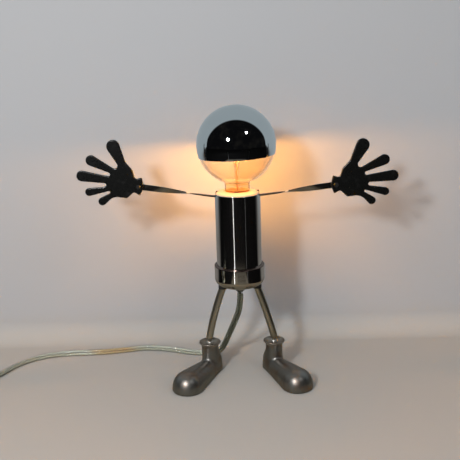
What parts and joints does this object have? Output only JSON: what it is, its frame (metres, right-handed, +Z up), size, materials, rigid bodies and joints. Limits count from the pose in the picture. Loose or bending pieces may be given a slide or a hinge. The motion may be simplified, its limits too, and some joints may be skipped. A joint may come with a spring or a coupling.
{
  "type": "robot shaped desk lamp",
  "caption": "Desk lamp shaped like a small robot: mirrored globe bulb head, chrome tube body, strip arms with flat hands, bent rod legs and cast shoes, on a clear twin flex.",
  "frame": {"origin": "on the floor, at the middle of the area that the lamp covers without its flex; the axis of the body tube stands 11 mm behind it (+Y)", "axes": "+Z up along the body tube, the robot faces -Y with its toes, +X towards its left hand as seen from behind, which is the right side seen from the front; the arms span X"},
  "size_m": [0.6415, 0.2165, 0.3396],
  "materials": {
    "chrome": "polished",
    "steel": "satin",
    "black_metal": "gloss",
    "pewter": "satin",
    "black_plastic": "matte",
    "white_plastic": "gloss",
    "rubber": "matte",
    "porcelain": "glazed",
    "brass": "bright",
    "nickel": "bright",
    "glass": "clear",
    "silver": "mirror",
    "glow": "glowing wire",
    "clear_pvc": "clear"
  },
  "bodies": {
    "lamp": {"body_tube": "chrome", "base_cup": "chrome", "hip_block": "steel", "leg_lock_screws": "black_metal", "hip_rings": "black_plastic", "left_leg": "steel", "right_leg": "steel", "left_ankle_bead": "chrome", "right_ankle_bead": "chrome", "shoulder_ring": "chrome", "shoulder_pins": "black_metal", "lampholder_body": "porcelain", "screw_shell": "brass", "centre_contact": "brass", "terminal_screws": "brass", "lampholder_entry": "chrome", "threaded_stem": "steel", "stem_nuts": "brass", "bell_nut": "chrome", "flex_bushing": "black_plastic", "inner_flex": "clear_pvc", "flex_lead": "clear_pvc", "flex_tail": "clear_pvc", "flex_coil": "clear_pvc", "flex_end": "clear_pvc", "flex_tie": "black_plastic", "switch_base": "black_plastic", "switch_cover": "black_plastic", "switch_contacts": "brass", "switch_screws": "nickel", "plug_body": "black_plastic", "plug_blades": "brass"},
    "left_foot": {"left_shoe": "pewter", "left_sole": "rubber"},
    "right_foot": {"right_shoe": "pewter", "right_sole": "rubber"},
    "left_arm": {"left_arm": "steel", "left_wrist_rivet": "black_metal"},
    "right_arm": {"right_arm": "steel", "right_wrist_rivet": "black_metal"},
    "left_hand": {"left_hand": "black_metal"},
    "right_hand": {"right_hand": "black_metal"},
    "bulb": {"bulb_glass": "glass", "bulb_silver": "silver", "bulb_cap": "nickel", "bulb_insulator": "black_plastic", "bulb_contact": "nickel", "bulb_stem": "glass", "bulb_filament": "glow"},
    "rocker": {"switch_rocker": "white_plastic"}
  },
  "joints": [
    {"name": "left_shoulder", "type": "hinge", "parent": "lamp", "child": "left_arm", "pos_m": [-0.024, 0.011, 0.2308], "axis": [0, 0, 1], "range_deg": [-30, 30]},
    {"name": "right_shoulder", "type": "hinge", "parent": "lamp", "child": "right_arm", "pos_m": [0.024, 0.011, 0.2308], "axis": [0, 0, 1], "range_deg": [-30, 30]},
    {"name": "left_wrist", "type": "hinge", "parent": "left_arm", "child": "left_hand", "pos_m": [-0.119, 0.011, 0.2451], "axis": [0, 1, 0], "range_deg": [-40, 40]},
    {"name": "right_wrist", "type": "hinge", "parent": "right_arm", "child": "right_hand", "pos_m": [0.119, 0.011, 0.2407], "axis": [0, 1, 0], "range_deg": [-40, 40]},
    {"name": "left_ankle", "type": "hinge", "parent": "lamp", "child": "left_foot", "pos_m": [-0.0404, 0.011, 0.03], "axis": [0, 0, 1], "range_deg": [-30, 30]},
    {"name": "right_ankle", "type": "hinge", "parent": "lamp", "child": "right_foot", "pos_m": [0.0414, 0.011, 0.03], "axis": [0, 0, 1], "range_deg": [-30, 30]},
    {"name": "bulb_lift", "type": "slide", "parent": "lamp", "child": "bulb", "axis": [0, 0, 1], "range_m": [0, 0.034]},
    {"name": "switch_rock", "type": "hinge", "parent": "lamp", "child": "rocker", "pos_m": [-0.3345, -0.0345, 0.014], "axis": [0.9408, -0.3391, 0], "range_deg": [-18, 0]}
  ]
}
